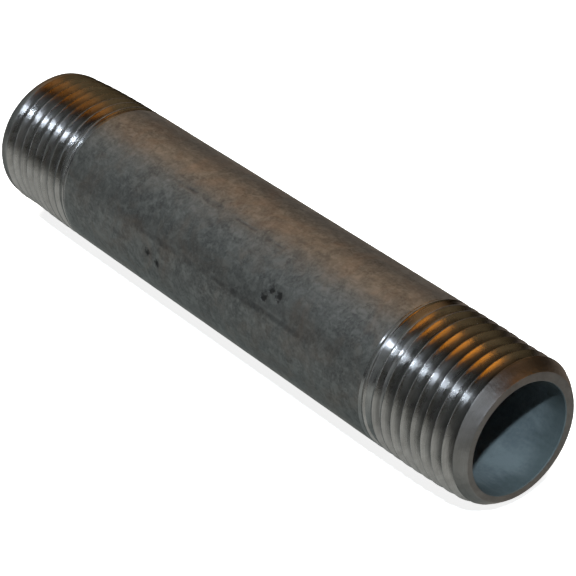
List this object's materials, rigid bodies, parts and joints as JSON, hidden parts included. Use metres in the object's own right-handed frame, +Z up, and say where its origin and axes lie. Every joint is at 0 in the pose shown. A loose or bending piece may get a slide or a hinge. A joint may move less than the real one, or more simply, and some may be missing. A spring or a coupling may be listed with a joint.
{
  "type": "threaded pipe nipple",
  "caption": "Straight steel pipe nipple: a short length of round pipe, open right through, with a tapered pipe thread cut on both ends.",
  "frame": {"origin": "on the bore's axis, midway between the two end faces", "axes": "+X along the bore to one threaded end, the pipe lying on its side with +Z up; both ends are alike, so +X and -X swap by half a turn about Z"},
  "size_m": [0.1016, 0.0212, 0.0212],
  "materials": {
    "steel": "dull grey mill scale on the pipe's middle, bright cut steel on the threads, end faces and bore"
  },
  "bodies": {
    "root": {"pipe_nipple": "steel"}
  },
  "joints": []
}
